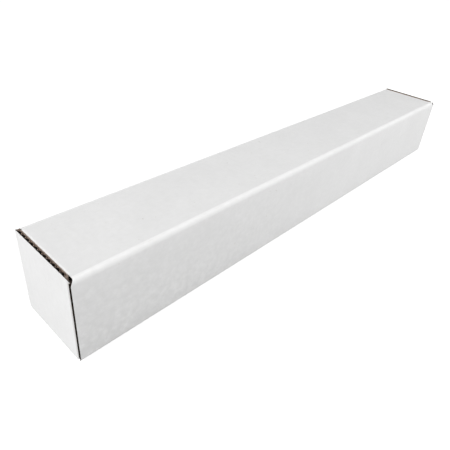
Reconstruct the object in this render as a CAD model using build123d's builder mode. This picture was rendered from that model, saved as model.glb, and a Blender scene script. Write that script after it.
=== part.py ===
"""Square mailing tube of corrugated board.

One die-cut sheet is folded round four long panels and glued along its length. At each end a tuck
flap, hinged on the back panel, closes over two dust flaps and tucks inside the front panel.

X runs along the tube, +Y is the back panel that carries the end flaps, -Y is the front panel that
takes their tucks, and Z is up. The origin is under the middle of the tube.
"""

import os
from math import asin, cos, radians, sin, sqrt, tan

from build123d import *

# Clear inside of the closed tube
inside_width = 76.2
inside_height = 76.2
inside_length = 609.6

# Corrugated board: two liners and a fluted medium
board = 3.0
liner = 0.35
medium = 0.3
glue_line = 0.1
flute_pitch = 6.35

# Folds: the long ones cross the flutes and are soft, the end creases run with them and are sharp
fold_radius = 4.5
crease_radius = 1.5
tuck_radius = 2.0

# Glued seam along the lower back edge
seam_setback = 0.8
lap_width = 32.0
lap_setback = 6.0
lap_taper = 10.0
lap_relief = 1.3

# End flaps
flap_edge_gap = 0.3
flap_gap = 0.3
mitre_gap = 0.2
hinge_flat = 0.8
front_setback = 0.2
open_flute_depth = 2.2

# Tuck of each end flap
tuck_length = 26.0
tuck_gap = 0.4
tuck_side_gap = 1.5
tuck_flat = 3.0
tuck_corner_radius = 11.0

# Dust flaps under each end flap
dust_length = 33.0
dust_side_gap = 0.5
dust_swing_gap = 0.5
dust_taper = 4.0

# Derived sizes
half_board = board / 2
outer_width = inside_width + 2 * board
outer_height = inside_height + 2 * board
half_width = outer_width / 2
dust_plane = inside_length / 2 + board
half_length = dust_plane + flap_gap + board
flap_height = outer_height - 2 * flap_edge_gap
tuck_height = inside_height - 2 * tuck_side_gap
lap_middle = board + half_board - glue_line

# The tuck leans inwards as a chord of the circle that its tip swings on, so that it clears the front
swing_radius = outer_width - board - tuck_gap
lean = asin(tuck_length / 2 / swing_radius)
tuck_turn = radians(90) + lean
swing_clear = sqrt(swing_radius**2 - (tuck_length / 2) ** 2) - board
dust_depth = half_length - inside_length / 2
dust_reach = sqrt((swing_clear - dust_swing_gap) ** 2 - dust_depth**2)

# Where the flutes of an end flap start and stop, measured from the sharp corner of the tuck fold
bend_corner = half_board * tan(tuck_turn / 2)
bend_start = tuck_radius * tan(tuck_turn / 2)
panel_flutes_end = swing_radius - board - hinge_flat
panel_flutes = int((panel_flutes_end - bend_start) / flute_pitch)
panel_flutes_start = panel_flutes_end - panel_flutes * flute_pitch
tuck_flutes = int((tuck_length - bend_corner - tuck_flat) / flute_pitch)
tuck_flutes_start = tuck_length - tuck_flutes * flute_pitch

# Planes of the near end flap: local X runs along the board's middle, away from the tuck fold
tuck_corner_y = half_width - swing_radius
panel_plane = Plane(
    origin=(-half_length + half_board, tuck_corner_y, flap_edge_gap),
    x_dir=(0, 1, 0),
    z_dir=(0, 0, 1),
)
tuck_plane = Plane(
    origin=(
        -half_length - half_board * sin(lean),
        tuck_corner_y + half_board * cos(lean),
        flap_edge_gap,
    ),
    x_dir=(cos(lean), sin(lean), 0),
    z_dir=(0, 0, 1),
)
tuck_face = Plane(
    origin=(-half_length, tuck_corner_y, outer_height / 2),
    x_dir=(cos(lean), sin(lean), 0),
    z_dir=(sin(lean), -cos(lean), 0),
)


def in_plan(plane, distance, offset):
    """The point seen from above that lies this far along a plane's own X and off it."""
    point = plane.from_local_coords((distance, offset))
    return (point.X, point.Y)


def solid_run(start, end):
    """Board whose flutes are crushed flat, as beside a crease."""
    with Locations(((start + end) / 2, 0)):
        Rectangle(end - start, board)


def fluted_run(start, count):
    """Section of fluted board: two liners with the wave of the medium glued between them."""
    length = count * flute_pitch
    for side in (-1, 1):
        with Locations((start + length / 2, side * (half_board - liner / 2))):
            Rectangle(length, liner)
    crest = half_board - liner - medium / 2 + glue_line
    half_wave = flute_pitch / 2
    with BuildLine() as wave:
        for step in range(2 * count):
            foot = start + step * half_wave
            rise = crest if step % 2 == 0 else -crest
            ThreePointArc((foot, 0), (foot + half_wave / 2, rise), (foot + half_wave, 0))
    trace(wave.line, line_width=medium)


def crease_relief(corner_x, corner_y):
    """What a crease's round takes off the square corner that turns towards +X and -Y."""
    with Locations((corner_x, corner_y)):
        Rectangle(crease_radius, crease_radius, align=(Align.MIN, Align.MAX))
    with Locations((corner_x + crease_radius, corner_y - crease_radius)):
        Circle(crease_radius, mode=Mode.SUBTRACT)


# Tube: the sheet's section from the raw edge at the seam, round the four folds, to the glued lap
with BuildPart() as tube_body:
    with BuildSketch(Plane.YZ) as tube_section:
        with BuildLine():
            FilletPolyline(
                (half_width - seam_setback, half_board),
                (-half_width + half_board, half_board),
                (-half_width + half_board, outer_height - half_board),
                (half_width - half_board, outer_height - half_board),
                (half_width - half_board, outer_height / 2),
                radius=fold_radius - half_board,
            )
        trace(line_width=board)
        with BuildLine():
            FilletPolyline(
                (half_width - half_board, outer_height / 2),
                (half_width - half_board, lap_middle),
                (half_width - board - lap_width, lap_middle),
                radius=fold_radius - half_board,
            )
        trace(line_width=board)
    extrude(amount=-dust_plane)

    # The lap stops short of the dust flaps with a slanted end, and its crease is cut open from there on
    lap_root_x = -inside_length / 2 + lap_setback
    lap_root_y = half_width - fold_radius
    lap_tip_y = half_width - board - lap_width
    with BuildSketch(Plane.XY.offset(board)):
        with BuildLine():
            Polyline(
                (-dust_plane, lap_root_y),
                (lap_root_x, lap_root_y),
                (lap_root_x + lap_taper, lap_tip_y),
                (-dust_plane, lap_tip_y),
                close=True,
            )
        make_face()
    extrude(amount=board, mode=Mode.SUBTRACT)
    with BuildSketch(Plane.XY.offset(board)):
        with Locations((-dust_plane, lap_root_y)):
            Rectangle(dust_plane + lap_root_x, fold_radius, align=Align.MIN)
    extrude(amount=lap_relief, mode=Mode.SUBTRACT)

    # Front and back panels run on past the dust flaps' crease, between the flap's two raw edges
    for panel_y, panel_end in (
        (-half_width + half_board, half_length - front_setback),
        (half_width - half_board, half_length),
    ):
        with BuildSketch(Plane.YZ.offset(-dust_plane)):
            add(tube_section.sketch_local)
            with Locations((panel_y, outer_height / 2)):
                Rectangle(board, flap_height, mode=Mode.INTERSECT)
        extrude(amount=dust_plane - panel_end)

    # The front panel is cut along a flute, which leaves the flute open between its liners
    with BuildSketch(Plane.XY.offset(fold_radius)):
        with Locations((-half_length + front_setback, -half_width + half_board)):
            Rectangle(open_flute_depth, board - 2 * liner, align=(Align.MIN, Align.CENTER))
    extrude(amount=outer_height - 2 * fold_radius, mode=Mode.SUBTRACT)

    # The back panel ends in the mitred, rounded crease that the end flap swings on
    with BuildSketch(Plane.XY):
        crease_relief(-half_length, half_width)
        with BuildLine():
            Polyline(
                (-half_length, half_width),
                (-half_length + mitre_gap, half_width),
                (-half_length + mitre_gap + board, half_width - board),
                (-half_length, half_width - board),
                close=True,
            )
        make_face()
    extrude(amount=outer_height, mode=Mode.SUBTRACT)

    # Dust flaps, folded in from the top and bottom panels, with their free corners cut back
    dust_hinge_y = half_width - fold_radius - dust_side_gap
    dust_front_y = half_width - dust_reach
    with BuildSketch(Plane.YZ.offset(-dust_plane)):
        with BuildLine():
            Polyline(
                (dust_front_y, 0),
                (dust_hinge_y, 0),
                (dust_hinge_y - dust_taper, dust_length),
                (dust_front_y + dust_taper, dust_length),
                close=True,
            )
        make_face()
        mirror(about=Plane.XZ.offset(-outer_height / 2))
    extrude(amount=board)
    with BuildSketch(Plane.XZ.offset(-dust_hinge_y)):
        crease_relief(-dust_plane, outer_height)
        mirror(about=Plane.XZ.offset(-outer_height / 2))
    extrude(amount=dust_hinge_y - dust_front_y, mode=Mode.SUBTRACT)

    mirror(about=Plane.YZ)

# End flap: fluted panel, tuck fold and fluted tuck, hinged on the edge at its +Y side
with BuildPart() as near_end_flap:
    with BuildSketch(panel_plane):
        fluted_run(panel_flutes_start, panel_flutes)
        solid_run(panel_flutes_end, swing_radius)
    extrude(amount=flap_height)

    # Tuck fold: crushed board, sharp inside and rounded outside
    with BuildSketch(Plane.XY.offset(flap_edge_gap)):
        with BuildLine():
            Polyline(
                in_plan(panel_plane, panel_flutes_start, -half_board),
                in_plan(panel_plane, 2 * bend_corner, -half_board),
                in_plan(tuck_plane, tuck_flutes_start, half_board),
                in_plan(tuck_plane, tuck_flutes_start, -half_board),
                in_plan(tuck_plane, bend_start, -half_board),
            )
            TangentArc(
                in_plan(tuck_plane, bend_start, -half_board),
                in_plan(panel_plane, bend_start, half_board),
                tangent=tuck_plane.x_dir * -1,
            )
            Polyline(
                in_plan(panel_plane, bend_start, half_board),
                in_plan(panel_plane, panel_flutes_start, half_board),
                in_plan(panel_plane, panel_flutes_start, -half_board),
            )
        make_face()
    extrude(amount=flap_height)

    with BuildSketch(tuck_plane):
        fluted_run(tuck_flutes_start, tuck_flutes)
        with Locations((tuck_length, 0)):
            Rectangle(medium, board, align=(Align.MIN, Align.CENTER), mode=Mode.SUBTRACT)
    extrude(amount=flap_height)

    # Shoulders: what goes inside the tube is cut back to the height of the tuck
    with BuildSketch(Plane.YZ.offset(-dust_plane - flap_gap / 2)):
        with Locations((0, outer_height / 2)):
            Rectangle(outer_width, outer_height)
            Rectangle(outer_width, tuck_height, mode=Mode.SUBTRACT)
    extrude(amount=tuck_length, mode=Mode.SUBTRACT)

    # Round corners on the tuck's free edge
    with BuildSketch(tuck_face):
        with Locations((tuck_length, 0)):
            Rectangle(tuck_corner_radius, tuck_height, align=(Align.MAX, Align.CENTER))
        with Locations((tuck_length - tuck_height / 2, 0)):
            RectangleRounded(tuck_height, tuck_height, tuck_corner_radius, mode=Mode.SUBTRACT)
    extrude(amount=2 * board, both=True, mode=Mode.SUBTRACT)

    # Mitred, rounded crease at the hinge
    with BuildSketch(Plane.XY):
        crease_relief(-half_length, half_width)
        with BuildLine():
            Polyline(
                (-half_length, half_width),
                (-half_length + board, half_width),
                (-half_length + board, half_width - board),
                close=True,
            )
        make_face()
    extrude(amount=outer_height, mode=Mode.SUBTRACT)

with BuildPart() as far_end_flap:
    mirror(near_end_flap.part, about=Plane.YZ)

tube_body.part.label = "tube_body"
near_end_flap.part.label = "near_end_flap"
far_end_flap.part.label = "far_end_flap"

os.makedirs("parts", exist_ok=True)
export_step(tube_body.part, "parts/tube_body.step")
export_step(near_end_flap.part, "parts/near_end_flap.step")
export_step(far_end_flap.part, "parts/far_end_flap.step")
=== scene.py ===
"""Looks of the square mailing tube: one folded sheet of white-lined corrugated board.

The board is built ply by ply, as it is made: a white outer liner, a fluted medium and a brown
inner liner. Lengths are in millimetres until a piece is made. X runs along the tube, +Y towards
the back panel that carries the end flaps, and Z up.
"""

import math

import bmesh
import bpy
import numpy as np
from mathutils import Matrix, Vector


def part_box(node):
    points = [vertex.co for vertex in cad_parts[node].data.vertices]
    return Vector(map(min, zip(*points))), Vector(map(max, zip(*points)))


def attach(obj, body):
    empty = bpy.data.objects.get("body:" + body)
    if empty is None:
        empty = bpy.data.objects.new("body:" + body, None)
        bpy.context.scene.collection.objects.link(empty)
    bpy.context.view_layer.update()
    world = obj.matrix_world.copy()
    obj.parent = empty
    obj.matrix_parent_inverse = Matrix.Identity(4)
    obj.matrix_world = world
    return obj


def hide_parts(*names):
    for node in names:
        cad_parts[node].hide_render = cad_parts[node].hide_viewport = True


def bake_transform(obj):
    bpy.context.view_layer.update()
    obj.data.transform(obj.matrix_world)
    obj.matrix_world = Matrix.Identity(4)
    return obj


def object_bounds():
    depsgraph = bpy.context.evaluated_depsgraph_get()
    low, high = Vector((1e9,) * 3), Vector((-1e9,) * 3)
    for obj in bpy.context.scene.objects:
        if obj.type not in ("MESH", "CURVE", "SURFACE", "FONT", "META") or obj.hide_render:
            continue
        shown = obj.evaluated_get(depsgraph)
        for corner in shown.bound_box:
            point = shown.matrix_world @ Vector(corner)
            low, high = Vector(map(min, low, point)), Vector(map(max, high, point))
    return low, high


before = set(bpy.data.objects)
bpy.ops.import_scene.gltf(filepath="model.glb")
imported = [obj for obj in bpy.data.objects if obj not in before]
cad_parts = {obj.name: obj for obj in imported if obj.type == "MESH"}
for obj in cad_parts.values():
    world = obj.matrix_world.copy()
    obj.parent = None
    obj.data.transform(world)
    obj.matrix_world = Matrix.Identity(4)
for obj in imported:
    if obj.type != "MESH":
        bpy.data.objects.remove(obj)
cad_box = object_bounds()

MM = 0.001

# Sizes read from the frame
_, tube_high = (np.array(corner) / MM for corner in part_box("tube_body"))
flap_low, flap_high = (np.array(corner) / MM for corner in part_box("near_end_flap"))
half_length = -flap_low[0]
half_width = tube_high[1]
height = tube_high[2]
rim_high = flap_high[2]

# Sizes of the board and its folds, as in the part's source
board = 3.0
liner = 0.35
medium = 0.3
flute_pitch = 6.35
fold_radius = 4.5
crease_radius = 1.5
tuck_radius = 2.0
flap_gap = 0.3
mitre_gap = 0.2
front_setback = 0.2
tuck_length = 26.0
tuck_gap = 0.4
tuck_side_gap = 1.5
tuck_corner_radius = 11.0
dust_length = 33.0
dust_back = 36.1
dust_front = -32.85
dust_taper = 4.0
seam_setback = 0.8
lap_width = 32.0
lap_start = 298.8
lap_taper = 10.0

dust_plane = half_length - board - flap_gap
swing_radius = 2 * half_width - board - tuck_gap
lean = math.asin(tuck_length / 2 / swing_radius)
tuck_corner = half_width - swing_radius
crease_start = dust_plane - board
front_end = half_length - front_setback

# Sizes and shares that only the looks have
open_flute = 1.6
crest_power = 0.9
seam_fold_share = 0.6
crush_reach = 8.0
crease_gap = 0.2
glue_gap = 0.02
band_width = 8.0
plug_length = 6.0
plug_gap = 0.1
first_flute = 0.8
shoulder_run = 0.6
lower_shoulder_share = 0.6
web_inset = 0.3
far_liner_proud = 0.7

# Distances from a fold between which crushed flutes open
dust_opening = (3, 6)
panel_opening = (4.2, 6.5)
tuck_opening = (5.5, 8)
crease_opening = (2.2, 4.2)

# How the surfaces depart from flat. The bow's waves each have a size, a length, a step from one
# panel to the next and a shift.
washboard = 0.03
washboard_growth = 20
fold_ripple = 0.05
panel_bow = 0.175
bow_waves = ((1.0, 97, 1.3, 0.0), (0.6, 41, 2.1, 0.7))
flat_end = 12.0

# Painted highlight along the folds, where the liner's colour is made lighter to stand in for the
# light that the folds catch: its width on the flat panels, the shares of a long fold between which
# it sets in, and how strong it is on the other folds
highlight_width = 0.6
highlight_start = (0.25, 0.75)
dust_highlight = 0.3
dust_highlight_end = 1.2
tuck_highlight = 0.1

# Wear of the white liner everywhere, and painted shade that darkens it more towards the front
# panel's near end and at its lower corner. The shade ends at a place along the tube, and in a share
# of the folds under and over the panel.
light_wear = 0.15
near_shade = 0.25
corner_shade = 0.7
shade_end = 0.3 * half_length
shade_under = 0.5
shade_fade = 0.2

# Rows and columns of the meshes
panel_spacing = 16.0
fold_rows = 9
rim_zone = 16.0
rim_columns = 6
outer_columns_per_flute = 4
inner_columns_per_flute = 1
rows_per_flute = 12
tuck_fold_rows = 12
band_columns_per_flute = 10
seam_rows = 3
mouth_rows = 24
lap_rows = 7
lap_columns = 120
crushed_rows = 12
crushed_columns = 3
dust_columns = 8
flap_columns = 10
cover_rows = 13
cover_columns = 40

# Margins that keep a place on the right side of a border
last_margin = 1e-9
border_margin = 1e-6
step_margin = 1e-4

sharp_angle = math.radians(35)

WHITE, KRAFT, EDGE, FLUTE_SHADE, MEDIUM = range(5)


# Materials

def material(name, roughness, gloss, build):
    """A procedural material; build gets the node tree and the shader and returns the colour."""
    made = bpy.data.materials.new(name)
    made.use_nodes = True
    tree = made.node_tree
    shader = tree.nodes["Principled BSDF"]
    shader.inputs["Roughness"].default_value = roughness
    shader.inputs["Specular IOR Level"].default_value = gloss
    tree.links.new(build(tree, shader), shader.inputs["Base Color"])
    return made


def noise(tree, scale, detail=2.0, stretch=(1, 1, 1)):
    """Noise in the object's own coordinates, in metres, stretched along some of its axes."""
    coordinates = tree.nodes.new("ShaderNodeTexCoord")
    mapping = tree.nodes.new("ShaderNodeMapping")
    mapping.inputs["Scale"].default_value = stretch
    texture = tree.nodes.new("ShaderNodeTexNoise")
    texture.inputs["Scale"].default_value = scale
    texture.inputs["Detail"].default_value = detail
    tree.links.new(coordinates.outputs["Object"], mapping.inputs["Vector"])
    tree.links.new(mapping.outputs["Vector"], texture.inputs["Vector"])
    return texture.outputs["Fac"]


def mark(tree, name):
    """A mark that the mesh carries at its points, from 0 to 1."""
    node = tree.nodes.new("ShaderNodeAttribute")
    node.attribute_name = name
    return node.outputs["Fac"]


def spread(tree, value, low, high, to_low, to_high):
    """A value's range, stretched to another one and clamped there."""
    node = tree.nodes.new("ShaderNodeMapRange")
    for socket, number in zip(node.inputs[1:5], (low, high, to_low, to_high)):
        socket.default_value = number
    tree.links.new(value, node.inputs["Value"])
    return node.outputs["Result"]


def combine(tree, operation, first, second):
    """Two values, joined by a step of arithmetic."""
    node = tree.nodes.new("ShaderNodeMath")
    node.operation = operation
    tree.links.new(first, node.inputs[0])
    tree.links.new(second, node.inputs[1])
    return node.outputs["Value"]


def blend_colours(tree, factor, first, second):
    """Mix of two colours, each given as a tuple or a socket."""
    node = tree.nodes.new("ShaderNodeMix")
    node.data_type = "RGBA"
    tree.links.new(factor, node.inputs["Factor"])
    for socket, colour in zip((node.inputs[6], node.inputs[7]), (first, second)):
        if isinstance(colour, tuple):
            socket.default_value = (*colour, 1)
        else:
            tree.links.new(colour, socket)
    return node.outputs[2]


def bump(tree, shader, heights):
    """Bumps from (height socket, depth in metres) pairs, one on the other."""
    normal = None
    for value, depth in heights:
        node = tree.nodes.new("ShaderNodeBump")
        node.inputs["Strength"].default_value = 1.0
        node.inputs["Distance"].default_value = depth
        tree.links.new(value, node.inputs["Height"])
        if normal is not None:
            tree.links.new(normal, node.inputs["Normal"])
        normal = node.outputs["Normal"]
    tree.links.new(normal, shader.inputs["Normal"])


def white_liner(tree, shader):
    """Bleached liner: clouds, fibres, specks, scuffing and grime with painted shade, and folds with
    a painted highlight and cracks.
    """
    clouds = noise(tree, 22, 4)
    fibres = noise(tree, 700, 4, (0.3, 1, 1))
    specks = noise(tree, 420, 1)
    cracks = noise(tree, 900, 2, (0.12, 1, 1))
    mottle = noise(tree, 90, 3)
    wear_and_shade = mark(tree, "wear_and_shade")
    fold = mark(tree, "fold")
    clouded = spread(tree, clouds, 0.3, 0.7, 0, 1)
    colour = blend_colours(tree, clouded, (0.80, 0.80, 0.80), (0.84, 0.84, 0.84))
    # The mask adds scuffs and grime all over, and painted shade towards the front panel's near
    # lower corner
    scuffs_and_shade = combine(tree, "MULTIPLY", wear_and_shade, spread(tree, noise(tree, 150, 4), 0.25, 0.7, 0, 1))
    colour = blend_colours(tree, scuffs_and_shade, colour, (0.68, 0.68, 0.678))
    grime_and_shade = combine(tree, "MULTIPLY", wear_and_shade, spread(tree, noise(tree, 260, 3), 0.4, 0.7, 0, 0.8))
    colour = blend_colours(tree, grime_and_shade, colour, (0.70, 0.70, 0.698))
    fibrous = spread(tree, fibres, 0.3, 0.75, 0, 0.25)
    colour = blend_colours(tree, fibrous, colour, (0.74, 0.737, 0.73))
    speckled = spread(tree, specks, 0.80, 0.83, 0, 0.5)
    colour = blend_colours(tree, speckled, colour, (0.35, 0.29, 0.22))
    # Painted highlight: the liner is made lighter along the folds, where they catch the light
    painted_highlight = combine(tree, "MULTIPLY", fold, spread(tree, mottle, 0.3, 0.7, 0.75, 0.45))
    colour = blend_colours(tree, painted_highlight, colour, (0.935, 0.935, 0.933))
    cracked = combine(tree, "MULTIPLY", fold, spread(tree, cracks, 0.55, 0.75, 0, 0.2))
    colour = blend_colours(tree, cracked, colour, (0.62, 0.57, 0.50))
    tree.links.new(spread(tree, clouds, 0.3, 0.7, 0.65, 0.78), shader.inputs["Roughness"])
    bump(tree, shader, [(fibres, 0.00003), (noise(tree, 120, 3), 0.00003)])
    return colour


def kraft(tree, shader):
    """Brown liner: long fibres along the paper, light and dark flecks."""
    clouds = noise(tree, 20, 3)
    fibres = noise(tree, 420, 5, (0.18, 1, 1))
    flecks = noise(tree, 520, 1, (0.4, 1, 1))
    clouded = spread(tree, clouds, 0.3, 0.7, 0, 1)
    colour = blend_colours(tree, clouded, (0.37, 0.245, 0.14), (0.45, 0.31, 0.19))
    fibrous = spread(tree, fibres, 0.35, 0.7, 0, 0.6)
    colour = blend_colours(tree, fibrous, colour, (0.28, 0.18, 0.095))
    flecked = spread(tree, flecks, 0.74, 0.8, 0, 0.7)
    colour = blend_colours(tree, flecked, colour, (0.14, 0.085, 0.05))
    tree.links.new(spread(tree, fibres, 0.3, 0.7, 0.72, 0.88), shader.inputs["Roughness"])
    bump(tree, shader, [(fibres, 0.00006)])
    return colour


def fuzzy(scale, dark, light, depth):
    """Rough paper in two tones, as a build function; depth is that of its bumps, in metres."""

    def build(tree, shader):
        fuzz = noise(tree, scale, 4)
        bump(tree, shader, [(fuzz, depth)])
        return blend_colours(tree, spread(tree, fuzz, 0.3, 0.7, 0, 1), dark, light)

    return build


# Paper as the knife leaves it; near-black painted shade for the paper in the board and at its rims,
# where little light gets in; and the recycled paper of the medium and of the inner liner's back
knife_cut = fuzzy(900, (0.15, 0.115, 0.095), (0.26, 0.20, 0.168), 0.0001)
flute_shade_paper = fuzzy(500, (0.030, 0.024, 0.020), (0.055, 0.043, 0.036), 0.00008)
recycled = fuzzy(500, (0.32, 0.24, 0.19), (0.44, 0.335, 0.27), 0.00008)

finishes = [
    material("white_liner", 0.7, 0.15, white_liner),
    material("kraft_liner", 0.8, 0.35, kraft),
    material("cut_edge", 0.9, 0.35, knife_cut),
    material("flute_shade", 0.95, 0.05, flute_shade_paper),
    material("medium_paper", 0.9, 0.35, recycled),
]


# Board

def smooth(value, low, high):
    """0 below low, 1 above high and a smooth step between."""
    share = np.clip((value - low) / (high - low), 0, 1)
    return share * share * (3 - 2 * share)


class Course:
    """The line that a board's outer face follows in one plane: legs with a bend at each corner.

    A place on it is a number: the even whole numbers start the legs and the odd ones the bends.
    Depth is measured from the outer face, towards the side that the bends turn to.
    """

    smallest_bend = 0.1

    def __init__(self, corners, radii, first_mitre=None):
        self.corners = np.array(corners, float)
        self.radii = radii
        legs = np.diff(self.corners, axis=0)
        self.ways = legs / np.linalg.norm(legs, axis=1)[:, None]
        first, second = self.ways[:2]
        self.side = math.copysign(1, first[0] * second[1] - first[1] * second[0])
        self.inwards = self.side * np.stack([-self.ways[:, 1], self.ways[:, 0]], 1)
        self.turns = [math.acos(np.clip(a @ b, -1, 1)) for a, b in zip(self.ways, self.ways[1:])]
        mitres = [first_mitre if first_mitre is not None else self.inwards[0]]
        mitres += [(a + b) / (1 + a @ b) for a, b in zip(self.inwards, self.inwards[1:])]
        self.mitres = np.array([*mitres, self.inwards[-1]])

    def leg_ends(self, leg, depth):
        """Both ends of a leg at a depth, where its bends begin."""
        ends = []
        for index, sign in ((leg, 1), (leg + 1, -1)):
            corner = self.corners[index] + depth[..., None] * self.mitres[index]
            if 0 < index < len(self.corners) - 1:
                radius = np.maximum(self.radii[index - 1] - depth, self.smallest_bend)
                run = radius * math.tan(self.turns[index - 1] / 2)
                corner = corner + sign * run[..., None] * self.ways[leg]
            ends.append(corner)
        return ends

    def leg_length(self, leg):
        start, end = self.leg_ends(leg, np.zeros(()))
        return float(np.linalg.norm(end - start))

    def at(self, place, depth):
        """Points in the course's plane."""
        place, depth = np.broadcast_arrays(np.asarray(place, float), np.asarray(depth, float))
        points = np.zeros(place.shape + (2,))
        last = 2 * len(self.ways) - 2
        part = np.clip(np.floor(place).astype(int), 0, last)
        share = (place - part)[..., None]
        for index in range(last + 1):
            here = part == index
            leg = index // 2
            if not here.any():
                continue
            start, end = self.leg_ends(leg, depth[here])
            if index % 2 == 0:
                points[here] = start + (end - start) * share[here]
                continue
            radius = np.maximum(self.radii[leg] - depth[here], self.smallest_bend)[..., None]
            angle = self.side * self.turns[leg] * share[here]
            outward = -self.inwards[leg]
            turned = np.concatenate(
                [
                    outward[0] * np.cos(angle) - outward[1] * np.sin(angle),
                    outward[0] * np.sin(angle) + outward[1] * np.cos(angle),
                ],
                axis=-1,
            )
            points[here] = end + radius * self.inwards[leg] + radius * turned
        return points


def add_object(mesh):
    """An object of a mesh, in the scene."""
    thing = bpy.data.objects.new(mesh.name, mesh)
    bpy.context.scene.collection.objects.link(thing)
    return thing


class Piece:
    """Gathers plies into one mesh."""

    def __init__(self, name):
        self.name = name
        self.points, self.faces, self.slots = [], [], []
        self.marks = {"fold": [], "wear_and_shade": []}
        self.count = 0

    def ply(self, put, place, across, top, bottom, looks, fold=0.0, wear_and_shade=light_wear):
        """A sheet between two depths over a grid of places along the course and across it.

        A pair of grids across gives the upper and the lower face their own edges. Looks are those
        of the upper face, the lower face and the raw edges, with a fourth one where the rims at
        both sides across have their own.
        """
        upper_across, lower_across = across if isinstance(across, tuple) else (across, across)
        place, upper_across, lower_across, top, bottom, fold, wear_and_shade = np.broadcast_arrays(
            place, upper_across, lower_across, top, bottom, fold, wear_and_shade
        )
        rows, columns = place.shape
        for depth, grid in ((top, upper_across), (bottom, lower_across)):
            self.points.append(put(place, depth, grid).reshape(-1, 3))
            for name, marks in (("fold", fold), ("wear_and_shade", wear_and_shade)):
                self.marks[name].append(np.asarray(marks, float).ravel())
        upper = self.count + np.arange(rows * columns).reshape(rows, columns)
        lower = upper + rows * columns
        self.count += 2 * rows * columns
        for grid, look in ((upper, looks[0]), (lower, looks[1])):
            corners = [grid[:-1, :-1], grid[1:, :-1], grid[1:, 1:], grid[:-1, 1:]]
            self.add(np.stack(corners, -1).reshape(-1, 4), look)
        for one, two, look in (
            (upper[0], lower[0], looks[2]),
            (upper[-1], lower[-1], looks[2]),
            (upper[:, 0], lower[:, 0], looks[-1]),
            (upper[:, -1], lower[:, -1], looks[-1]),
        ):
            self.add(np.stack([one[:-1], one[1:], two[1:], two[:-1]], -1), look)

    def add(self, quads, look):
        self.faces.append(quads)
        self.slots.append(np.full(len(quads), look))

    def make(self):
        """The piece as an object in the frame, in metres."""
        mesh = bpy.data.meshes.new(self.name)
        mesh.from_pydata(np.concatenate(self.points) * MM, [], np.concatenate(self.faces).tolist())
        mesh.polygons.foreach_set("material_index", np.concatenate(self.slots).astype(np.int32))
        for name, marks in self.marks.items():
            layer = mesh.attributes.new(name, "FLOAT", "POINT")
            layer.data.foreach_set("value", np.concatenate(marks).astype(np.float32))
        for finish in finishes:
            mesh.materials.append(finish)
        shape = bmesh.new()
        shape.from_mesh(mesh)
        bmesh.ops.recalc_face_normals(shape, faces=shape.faces)
        shape.to_mesh(mesh)
        shape.free()
        mesh.shade_smooth()
        mesh.set_sharp_from_angle(angle=sharp_angle)
        return add_object(mesh)


def places(course, spacing, bend_steps=8):
    """Places along a course: even steps on its legs, a fixed number in its bends."""
    found = []
    legs = len(course.ways)
    for leg in range(legs):
        steps = max(2, int(round(course.leg_length(leg) / spacing)))
        found += list(2 * leg + np.arange(steps) / steps)
        if leg < legs - 1:
            found += list(2 * leg + 1 + np.arange(bend_steps) / bend_steps)
    found.append(2 * legs - 1 - last_margin)
    return np.unique(np.round(found, 9))[:, None]


def wave(turns):
    """Shape of the medium over a number of flutes: its crests at the outer liner are narrow."""
    return 1 - 2 * np.abs(np.sin(math.pi * turns)) ** crest_power


def fluted(piece, put, place, across, flutes, strength, highlight):
    """The three plies of a board whose flutes run across the course.

    Where strength falls to 0 the flutes are crushed, paper fills the board and its face gets a
    painted highlight, lighter by the share that the argument after strength gives. across gives the
    grid across the course for the ply at a depth.
    """
    ripple = washboard * strength * np.cos(2 * math.pi * flutes)
    cavity = board - 2 * liner
    centre = board / 2 - strength * (cavity - medium) / 2 * wave(flutes)
    half = medium / 2 + (1 - strength) ** 3 * (cavity - medium) / 2
    painted_highlight = highlight * (1 - strength)
    inner = board - liner
    # Faces inside the board, and the outer liner's raw rims across, are near-black painted shade
    outer_looks = (WHITE, FLUTE_SHADE, EDGE, FLUTE_SHADE)
    piece.ply(put, place, across(0), -ripple, liner - ripple, outer_looks, painted_highlight)
    piece.ply(put, place, across(board / 2), centre - half, centre + half, (FLUTE_SHADE, MEDIUM, EDGE))
    piece.ply(put, place, across(inner), inner + ripple, board + ripple, (MEDIUM, KRAFT, EDGE))


# Tube: the sheet goes round from the raw edge at the seam to the glued lap

section = Course(
    [
        (half_width - seam_setback, 0),
        (-half_width, 0),
        (-half_width, height),
        (half_width, height),
        (half_width, board),
        (half_width - board - lap_width, board),
    ],
    [fold_radius] * 4,
)
BOTTOM, FRONT, TOP, BACK, LAP = 0, 2, 4, 6, 8


def on_tube(place, depth, along):
    """A point of the tube's wall, with the flutes' faint waves and each panel's own bow."""
    clear = smooth(half_length - flat_end - np.abs(along), 0, flat_end)
    part = np.floor(place)
    share = place - part
    bend = part % 2 == 1
    hump = np.sin(math.pi * share) ** 2
    on_panel = washboard * np.minimum(1, washboard_growth * share * (1 - share))
    ripple = np.where(bend, fold_ripple * hump, on_panel)
    ripple = ripple * np.cos(2 * math.pi * along / flute_pitch)
    sway = sum(
        size * np.sin(along / length + step * part + shift)
        for size, length, step, shift in bow_waves
    )
    lift = -clear * (ripple + panel_bow * np.where(bend, 0, hump) * sway)
    lift = np.where(part >= LAP - 1, 0, lift)
    flat = section.at(place, depth + lift)
    return np.stack([along, flat[..., 0], flat[..., 1]], -1)


def fold_line(y):
    """Height of the tube's upper face over a point, which drops off at the long folds."""
    past = np.clip(np.abs(y) - (half_width - fold_radius), 0, fold_radius)
    return height - fold_radius + np.sqrt(fold_radius**2 - past**2)


def from_front(place):
    """How much of a bend lies between a place and the front panel."""
    return np.where(place < FRONT, FRONT - place, np.maximum(place - FRONT - 1, 0))


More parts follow.
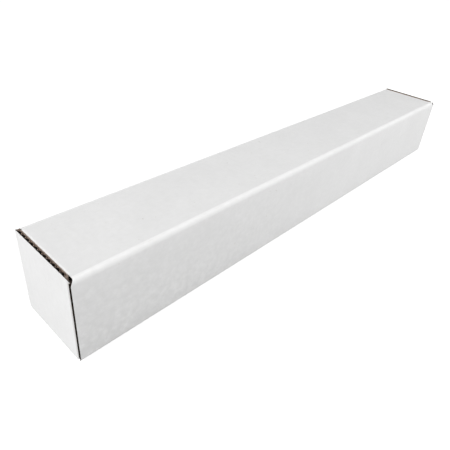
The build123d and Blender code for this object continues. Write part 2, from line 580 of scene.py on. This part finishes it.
def front_reach(place, front, slopes):
    """How far the front panel reaches along X.

    In its folds the rim runs back to the dust flaps' crease, over the shares of the lower and of
    the upper fold that slopes give.
    """
    lower, upper = (smooth(from_front(place), *slope) for slope in slopes)
    return front - (front - dust_plane) * np.where(place < FRONT, lower, upper)


def painted_fold_highlight(place):
    """How much painted highlight the liner gets: on the long folds, towards the top and bottom
    panels.
    """
    part = np.floor(place)
    share = place - part
    flat_panel = np.isin(part, (BOTTOM, TOP))
    leg_length = np.where(part == TOP, section.leg_length(2), section.leg_length(0))
    from_fold = np.where(part == BOTTOM, 1 - share, np.minimum(share, 1 - share)) * leg_length
    up_bend = np.where(np.isin(part, (FRONT + 1, BACK + 1)), share, 1 - share)
    in_bend = np.where(part % 2 == 1, smooth(up_bend, *highlight_start), 0)
    return np.where(flat_panel, 1 - smooth(from_fold, 0, highlight_width), in_bend)


def scuffed_and_shaded(place, along):
    """How much the liner is worn: a little everywhere, and with painted shade most at the front
    panel's lower edge and its near end.
    """
    above = smooth(place, FRONT + 1 - shade_fade, FRONT + 1 + shade_fade)
    on_front = smooth(place, FRONT - shade_under, FRONT) * (1 - above)
    low = 1 - np.clip(place - FRONT, 0, 1)
    near = smooth(-along, -shade_end, half_length)
    return light_wear + on_front * (near_shade * near + corner_shade * (low * near) ** 2)


def rims(ends, slopes):
    """Places round the tube, and how far the wall reaches along X at each.

    The rim has steps, and a pair of places lies on each. Ends are the wall's reach at the dust
    flaps, at the front panel and at the back panel.
    """
    dust, front, back = ends
    rim_drop = height - rim_high
    rim_share = (2 / math.pi) * math.acos(1 - rim_drop / fold_radius)
    legs = [section.leg_length(leg) for leg in range(5)]
    dust_inset = (half_width - fold_radius) - dust_back
    dust_far = dust_front + half_width - fold_radius
    bottom_back = (half_width - seam_setback - dust_back) / legs[0]
    bottom_front = (half_width - seam_setback - dust_front) / legs[0]
    steps = [
        (0, dust_plane),
        (bottom_back, dust),
        (bottom_front, dust_plane),
        (TOP + dust_far / legs[2], dust),
        (TOP + 1 - dust_inset / legs[2], dust_plane),
        (TOP + 1 + rim_share, back),
        (BACK + 1 + seam_fold_share, dust_plane),
    ]
    around = [p for p in places(section, panel_spacing, fold_rows)[:, 0] if p < LAP - border_margin]
    for inset in (0.5 * highlight_width, highlight_width):
        around += [BOTTOM + 1 - inset / legs[0], TOP + inset / legs[2], TOP + 1 - inset / legs[2]]
    around += [p + shift for p, _ in steps[1:] for shift in (-step_margin, step_margin)]
    around = np.unique(np.round(around, 9))
    reach = np.array([[r for p, r in steps if p <= a][-1] for a in around])
    reach = np.where(from_front(around) < 1, front_reach(around, front, slopes), reach)
    return around[:, None], reach[:, None]


def columns(near_reach, far_reach, count_per_flute):
    """Stations along the tube: even ones over its length, and a few that follow each end's rim."""
    body = half_length - rim_zone
    count = int(2 * body / flute_pitch * count_per_flute)
    middle = np.linspace(-body, body, count)[None, :]
    share = np.linspace(0, 1, rim_columns + 1)[None, 1:]
    near, far = (body + (reach - body) * share for reach in (near_reach, far_reach))
    return np.concatenate([-near[:, ::-1], np.repeat(middle, len(near), 0), far], 1)


# Shares of the front panel's lower and upper fold over which the rim runs back
lower_slope = (0.62, 0.8)
near_slopes = (lower_slope, (0.0, 0.8))
far_slopes = (lower_slope, (0.0, 0.25))
inner_slopes = ((0.3, 0.5), (0.3, 0.5))
level_slopes = (lower_slope, (1, 2))

tube = Piece("tube_board")
outer_ends = (crease_start, front_end, half_length - crease_radius)
around, near_reach = rims(outer_ends, near_slopes)
_, far_reach = rims(outer_ends, far_slopes)
along = columns(near_reach, far_reach, outer_columns_per_flute)
# The board's inside faces and its raw rims at the tube's ends are near-black painted shade
outer_looks = (WHITE, FLUTE_SHADE, EDGE, FLUTE_SHADE)
# The outer liner gets a painted highlight along its long folds, and painted shade on its front
# panel towards the near lower corner
tube.ply(on_tube, around, along, 0, liner, outer_looks, painted_fold_highlight(around), scuffed_and_shaded(around, along))

inner_ends = (crease_start, front_end, half_length - mitre_gap - board)
around, reach = rims(inner_ends, inner_slopes)
along = columns(reach, reach, inner_columns_per_flute)
tube.ply(on_tube, around, along, board - liner, board, (FLUTE_SHADE, KRAFT, EDGE, FLUTE_SHADE))

# Crushed board at the back panel's creases, mitred for the end flaps, in near-black painted shade
crushed = np.linspace(TOP + 1.5, BACK + 1.5, crushed_rows)[:, None]
for side in (-1, 1):
    outer_end, inner_end = (
        side * np.linspace(half_length - crush_reach, end, crushed_columns)[None, :]
        for end in (
            half_length - crease_radius - crease_gap,
            half_length - mitre_gap - board + liner,
        )
    )
    across = (outer_end, inner_end)
    tube.ply(on_tube, crushed, across, liner, board - liner, (FLUTE_SHADE, FLUTE_SHADE, EDGE))

# Glued lap inside the bottom panel, with slanted ends
lap_places = np.linspace(LAP, LAP + 1 - last_margin, lap_rows)[:, None]
lap_reach = lap_start - lap_taper * (lap_places - LAP)
lap_along = lap_reach * np.linspace(-1, 1, lap_columns)[None, :]
tube.ply(on_tube, lap_places, lap_along, glue_gap, liner, (WHITE, FLUTE_SHADE, EDGE))
tube.ply(on_tube, lap_places, lap_along, board - liner, board, (FLUTE_SHADE, KRAFT, EDGE))


def flute_band(low_place, high_place, low_along, high_along, start, rows):
    """The medium where a raw edge of the tube lets it be seen, in near-black painted shade; its
    flutes run round the tube.
    """
    band = np.linspace(low_place, high_place, rows)[:, None]
    steps = int((high_along - low_along) / flute_pitch * band_columns_per_flute)
    along = np.linspace(low_along, high_along, steps)[None, :]
    swing = (board - 2 * liner - medium) / 2
    centre = board / 2 - swing * wave((along - start) / flute_pitch)
    top, bottom = centre - medium / 2, centre + medium / 2
    tube.ply(on_tube, band, along, top, bottom, (FLUTE_SHADE, FLUTE_SHADE, EDGE))


seam_band = band_width / section.leg_length(0)
lap_band = band_width / section.leg_length(4)
lap_end = LAP + 1 - last_margin
lap_low, lap_high = lap_taper - lap_start, lap_start - lap_taper
flute_band(0, seam_band, -dust_plane, dust_plane, 0, seam_rows)
flute_band(LAP + 1 - lap_band, lap_end, lap_low, lap_high, 0, seam_rows)
for side in (-1, 1):
    mouth = front_end - open_flute
    low_along, high_along = sorted((side * mouth, side * (mouth - 2 * flute_pitch)))
    front_top = FRONT + 1 - border_margin
    flute_band(FRONT, front_top, low_along, high_along, side * mouth, mouth_rows)

# The front panel's flutes, pressed together in its folds, in near-black painted shade: at which end
# and between which places, how the rim runs back there, how far behind it they end, and the depth
# at which they start. The last one lies bare, where the outer liner has run back, and shows as a
# dark dot of painted shade.
for side, low_place, high_place, slopes, recess, cover in (
    (-1, FRONT - 0.74, FRONT, near_slopes, 0.4, liner),
    (-1, FRONT + 1, FRONT + 1.7, near_slopes, 1.0, liner),
    (1, FRONT - 0.74, FRONT, far_slopes, 0.4, liner),
    (1, FRONT + 1, FRONT + 1.75, level_slopes, 0.1, 0.05),
):
    pressed = np.linspace(low_place, high_place, crushed_rows)[:, None]
    rise = np.cos(math.pi / 2 * from_front(pressed))
    deepest = fold_radius - (fold_radius - board - plug_gap) / rise
    depth = np.maximum(np.minimum(board - liner, deepest), cover)
    end = front_reach(pressed, front_end, slopes) - recess
    along = side * (end - np.linspace(plug_length, 0, crushed_columns)[None, :])
    tube.ply(on_tube, pressed, along, cover, depth, (FLUTE_SHADE, FLUTE_SHADE, FLUTE_SHADE))

tube_board = tube.make()
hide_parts("tube_body")
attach(tube_board, "tube")


# Dust flaps, folded in from the top and bottom panels

def dust_flap(name, end, upper):
    """One dust flap: end is -1 at the near end and 1 at the far end."""
    course = Course(
        [(-crease_start, height), (-dust_plane, height), (-dust_plane, height - dust_length)],
        [crease_radius],
    )

    def put(place, depth, across):
        flat = course.at(place, depth)
        z = flat[..., 1] if upper else height - flat[..., 1]
        return np.stack([-end * flat[..., 0], across, z], -1)

    place = places(course, flute_pitch / rows_per_flute)
    run = course.at(place, 0)[..., 1]
    down = np.clip((height - run) / dust_length, 0, 1)
    low_y = dust_front + dust_taper * down
    high_y = dust_back - dust_taper * down
    across = low_y + (high_y - low_y) * np.linspace(0, 1, dust_columns)[None, :]
    flutes = (run - (height - dust_length)) / flute_pitch
    strength = np.where(place < 2, 0, smooth(height - run, *dust_opening))
    # Painted highlight on the dust flap's crushed board by its crease
    highlight = dust_highlight * smooth(place, 0, dust_highlight_end)
    piece = Piece(name)
    fluted(piece, put, place, lambda depth: across, flutes, strength, highlight)
    thing = piece.make()
    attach(thing, "tube")


for end, label in ((-1, "near"), (1, "far")):
    dust_flap(f"{label}_top_dust_flap", end, True)
    dust_flap(f"{label}_bottom_dust_flap", end, False)


# End flaps: fluted panel, tuck fold and tuck

# Inner liner in the mitre of a crease: how far its points lie from the tube's outer corner along
# the mitre, and across it from the flap's side towards the tube's
web_reach = np.array([4.1, 3.4, 2.8, 2.4, 2.25, 2.2, 2.2, 2.25, 2.4, 2.8, 3.4, 4.1])
web_offset = np.array(
    [0.12, 0.12, 0.12, 0.11, 0.095, 0.078, 0.062, 0.045, 0.03, 0.02, 0.02, 0.02]
)


def end_flap(label, end, proud):
    """One end flap on its own body, with the crease that ties it to the back panel.

    Proud is how far its outer liner stands above the raw edge of the other plies.
    """
    body = f"{label}_flap"

    def upright(course):
        """Puts the places of a level course into the frame, with heights across."""

        def put(place, depth, across):
            flat = course.at(place, depth)
            return np.stack([-end * flat[..., 0], flat[..., 1], across], -1)

        return put

    tip = (
        -half_length + tuck_length * math.cos(lean),
        tuck_corner + tuck_length * math.sin(lean),
    )
    course = Course(
        [(-half_length, half_width - crease_radius), (-half_length, tuck_corner), tip],
        [tuck_radius],
        first_mitre=np.array([1.0, crease_radius / board - 1]),
    )
    place = places(course, flute_pitch / rows_per_flute, tuck_fold_rows)
    on_panel = place < 1
    on_tuck = place >= 2

    # Distance from the tuck fold's corner, on the panel and on the tuck
    panel_length = course.leg_length(0)
    tuck_leg = course.leg_length(1)
    bend_start = swing_radius - crease_radius - panel_length
    panel_run = bend_start + (1 - place) * panel_length
    tuck_run = bend_start + (place - 2) * tuck_leg
    run = np.where(on_panel, panel_run, tuck_run)

    panel_flutes = (swing_radius - board - first_flute - run) / flute_pitch
    tuck_flutes = (tuck_length - run) / flute_pitch
    flutes = np.where(on_panel, panel_flutes, tuck_flutes)
    tuck_strength = np.where(on_tuck, smooth(run, *tuck_opening), 0)
    strength = np.where(on_panel, smooth(run, *panel_opening), tuck_strength)
    strength = strength * np.where(on_panel, smooth(swing_radius - run, *crease_opening), 1)

    tuck_high = height - board - tuck_side_gap
    to_tip = np.clip(run - (tuck_length - tuck_corner_radius), 0, tuck_corner_radius)
    corner = tuck_corner_radius - np.sqrt(np.maximum(tuck_corner_radius**2 - to_tip**2, 0))
    cut_back = np.where(on_tuck, corner, 0)

    bend_length = tuck_radius * course.turns[0]
    in_bend = np.where(on_tuck, tuck_leg, (place - 1) * bend_length)
    past_bend = np.where(on_panel, (place - 1) * panel_length, in_bend)
    upper_shoulder = smooth(past_bend, 0, bend_length + shoulder_run)
    lower_start = lower_shoulder_share * bend_length
    lower_shoulder = smooth(past_bend, lower_start, bend_length + shoulder_run)

    def across(depth):
        """Heights over the ply at a depth, between its raw edges, with shoulders at the fold."""
        outermost = 1 - smooth(np.array(depth), 0, board)
        rim_z = np.minimum(rim_high, fold_line(course.at(place, depth)[..., 1]))
        panel_high = rim_z + proud * outermost
        tuck_drop = panel_high - tuck_high + cut_back
        high_z = panel_high - tuck_drop * upper_shoulder
        low_z = height - panel_high + tuck_drop * lower_shoulder
        return low_z + (high_z - low_z) * np.linspace(0, 1, flap_columns)[None, :]

    piece = Piece(f"{label}_flap_board")
    # The tuck's crushed board gets a faint painted highlight
    fluted(piece, upright(course), place, across, flutes, strength, tuck_highlight)
    thing = piece.make()
    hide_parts(f"{label}_end_flap")
    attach(thing, body)

    # Outer liner over the crease, from the back panel to the flap
    corner_course = Course(
        [
            (-half_length + crease_radius, half_width),
            (-half_length, half_width),
            (-half_length, half_width - crease_radius),
        ],
        [crease_radius],
    )
    put = upright(corner_course)
    arc = np.linspace(1, 2, cover_rows)[:, None]
    rim_z = np.minimum(rim_high, fold_line(corner_course.at(arc, 0)[..., 1]))
    rim = height / 2 + (rim_z - height / 2) * np.linspace(-1, 1, cover_columns)[None, :]
    cover = Piece(f"{label}_crease_cover")
    # The crease's outer liner gets the full painted highlight of a fold
    cover.ply(put, arc, rim, 0, liner, (WHITE, FLUTE_SHADE, EDGE), 1.0)
    # The board under the crease's liner is near-black painted shade
    cover.ply(put, arc, rim, liner, crease_radius - crease_gap, (FLUTE_SHADE, FLUTE_SHADE, EDGE))
    thing = cover.make()
    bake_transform(thing)

    # Inner liner, folded double in the mitre at rest
    web_x = -half_length + (web_reach + web_offset) / math.sqrt(2)
    web_y = half_width + (web_offset - web_reach) / math.sqrt(2)
    web_z = np.minimum(rim_high, fold_line(web_y)) - web_inset
    points = [
        (-end * x * MM, y * MM, z * MM)
        for x, y, top in zip(web_x, web_y, web_z)
        for z in (height - top, top)
    ]
    faces = [(2 * i, 2 * i + 1, 2 * i + 3, 2 * i + 2) for i in range(len(web_x) - 1)]
    mesh = bpy.data.meshes.new(f"{label}_crease_web")
    mesh.from_pydata(points, [], faces)
    mesh.materials.append(finishes[KRAFT])
    mesh.shade_smooth()
    thing = add_object(mesh)
    corner = np.array([-half_length, half_width])
    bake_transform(thing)


end_flap("near", -1, 0.0)
end_flap("far", 1, far_liner_proud)


# Floor, light and camera, in metres

floor_size = 6
floor_drop = 0.0004
floor_tone = 0.42
floor_glow = 0.8
world_light = 0.5
lamp_size = 0.9
lamp_target = Vector((0, 0, 0.05))

scene = bpy.context.scene
scene.view_settings.view_transform = "Standard"


def white_to_camera(tree):
    """1 for rays that show the background: from the camera, from gloss and through glass."""
    path = tree.nodes.new("ShaderNodeLightPath")
    seen = path.outputs["Is Camera Ray"]
    for name in ("Is Glossy Ray", "Is Transmission Ray"):
        seen = combine(tree, "MAXIMUM", seen, path.outputs[name])
    return seen


world = bpy.data.worlds.new("studio")
scene.world = world
world.use_nodes = True
tree = world.node_tree
background = tree.nodes["Background"]
background.inputs["Color"].default_value = (1, 1, 1, 1)
world_strength = spread(tree, white_to_camera(tree), 0, 1, world_light, 1.0)
tree.links.new(world_strength, background.inputs["Strength"])

floor_mesh = bpy.data.meshes.new("floor")
signs = ((-1, -1), (1, -1), (1, 1), (-1, 1))
floor_corners = [(x * floor_size, y * floor_size, 0) for x, y in signs]
floor_mesh.from_pydata(floor_corners, [], [(0, 1, 2, 3)])
floor = add_object(floor_mesh)
floor.location.z = cad_box[0].z - floor_drop
paper = bpy.data.materials.new("floor_paper")
paper.use_nodes = True
tree = paper.node_tree
shader = tree.nodes["Principled BSDF"]
shader.inputs["Base Color"].default_value = (floor_tone, floor_tone, floor_tone, 1)
shader.inputs["Roughness"].default_value = 0.9
shader.inputs["Specular IOR Level"].default_value = 0.0
shader.inputs["Emission Color"].default_value = (1, 1, 1, 1)
floor_strength = spread(tree, white_to_camera(tree), 0, 1, 0.0, floor_glow)
tree.links.new(floor_strength, shader.inputs["Emission Strength"])
floor_mesh.materials.append(paper)


def lamp(name, place, power):
    """A soft square lamp that points at the tube."""
    data = bpy.data.lights.new(name, "AREA")
    data.size = lamp_size
    data.energy = power
    thing = bpy.data.objects.new(name, data)
    thing.location = place
    thing.rotation_euler = (lamp_target - Vector(place)).to_track_quat("-Z", "Y").to_euler()
    scene.collection.objects.link(thing)


lamp("left", (-1.8, 0.3, 0.8), 19.6)
lamp("right", (0.4, -1.3, 0.8), 11.4)
lamp("low_right", (0.9, -1.0, 0.35), 1.9)
lamp("above_left", (-1.5, -0.5, 1.5), 2.5)

# The camera is fitted to the photo: its focal length and the height of its axis are in pixels
picture_size = 450
focal_length = 447.73
axis_height = 207
sensor_width = 36
view_place = (-0.41333, -0.25971, 0.29347)
view_way = Vector((0.63833, 0.55234, -0.53615))
view_up = Vector((0.34237, 0.42011, 0.84041))
camera_data = bpy.data.cameras.new("camera")
camera_data.sensor_width = sensor_width
camera_data.lens = sensor_width * focal_length / picture_size
camera_data.shift_y = (axis_height - picture_size / 2) / picture_size
camera_data.clip_start = 0.01
camera = bpy.data.objects.new("camera", camera_data)
view_right = view_way.cross(view_up).normalized()
turn = Matrix((view_right, view_right.cross(view_way), -view_way)).transposed()
camera.matrix_world = Matrix.Translation(view_place) @ turn.to_4x4()
scene.collection.objects.link(camera)
scene.camera = camera
